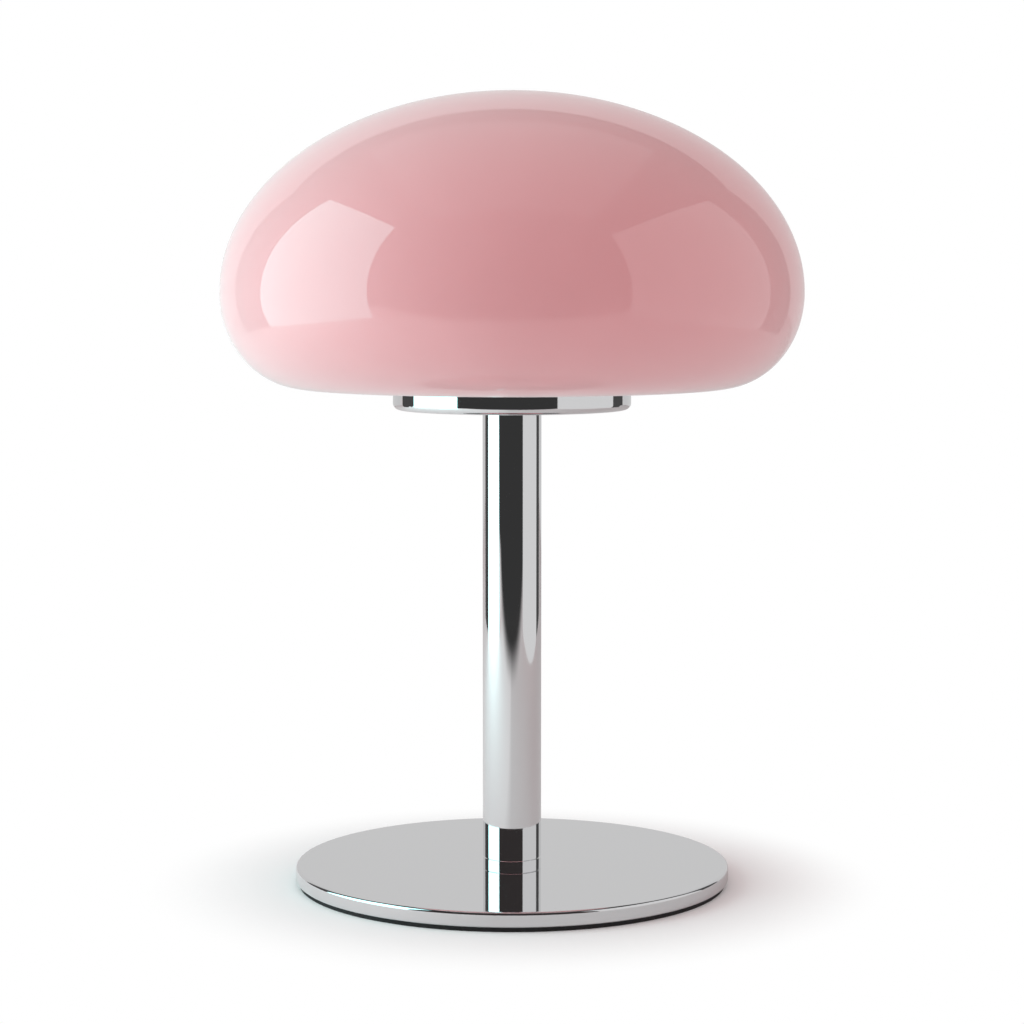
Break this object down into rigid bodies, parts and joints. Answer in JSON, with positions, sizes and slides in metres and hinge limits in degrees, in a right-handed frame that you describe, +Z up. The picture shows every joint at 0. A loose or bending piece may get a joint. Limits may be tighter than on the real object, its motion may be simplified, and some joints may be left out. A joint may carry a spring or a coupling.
{
  "type": "mushroom table lamp",
  "caption": "Table lamp with a domed opal glass shade that lifts off a chromed dish, stem and round weighted base, with a screw-in bulb.",
  "frame": {"origin": "middle of the pad's underside, where the lamp stands", "axes": "+Z up along the stem, +Y to the back where the mains cord enters, front faces -Y"},
  "size_m": [0.2754, 0.2754, 0.377],
  "materials": {
    "chrome": "polished plating",
    "pad_rubber": "matte",
    "grommet_rubber": "satin moulded",
    "plated_steel": "zinc plated",
    "connector_plastic": "moulded",
    "brass": "bright stamped",
    "live_insulation": "smooth silicone",
    "neutral_insulation": "smooth silicone",
    "silicone": "translucent",
    "opal_glass": "gloss, rose over white opal",
    "holder_plastic": "satin moulded",
    "ceramic": "glazed ceramic",
    "bulb_metal": "nickel plated",
    "bulb_black_glass": "fused black glass",
    "bulb_plastic": "smooth",
    "bulb_globe": "frosted opal",
    "board_aluminium": "white masked",
    "led_phosphor": "phosphor gel"
  },
  "bodies": {
    "stand": {"base_pad": "pad_rubber", "base_plate": "chrome", "base_screw": "plated_steel", "stem_foot_plug": "chrome", "stem_tube": "chrome", "cable_grommet": "grommet_rubber", "stem_top_plug": "plated_steel", "connector_body": "connector_plastic", "connector_barrels": "brass", "connector_clamp_screws": "plated_steel", "connector_fixing_screw": "plated_steel", "live_lead": "live_insulation", "neutral_lead": "neutral_insulation", "shade_holder": "chrome", "threaded_nipple": "plated_steel", "holder_washer": "plated_steel", "holder_nut": "plated_steel", "shade_seal": "silicone", "lampholder_cap": "holder_plastic", "lampholder_lock_screw": "plated_steel", "lampholder_insert": "ceramic", "lampholder_terminals": "brass", "lampholder_terminal_screws": "plated_steel", "lampholder_rivets": "brass", "lampholder_centre_contact": "brass", "lampholder_screw_shell": "brass", "lampholder_sleeve": "holder_plastic"},
    "shade": {"glass_shade": "opal_glass"},
    "bulb": {"bulb_tip_contact": "bulb_metal", "bulb_insulator": "bulb_black_glass", "bulb_cap": "bulb_metal", "bulb_housing": "bulb_plastic", "bulb_diffuser": "bulb_globe", "bulb_led_board": "board_aluminium", "bulb_led_chips": "led_phosphor"}
  },
  "joints": [
    {"name": "shade_lift", "type": "slide", "parent": "stand", "child": "shade", "axis": [0, 0, 1], "range_m": [0, 0.12]},
    {"name": "bulb_unscrew", "type": "slide", "parent": "stand", "child": "bulb", "axis": [0, 0, 1], "range_m": [0, 0.025]}
  ]
}
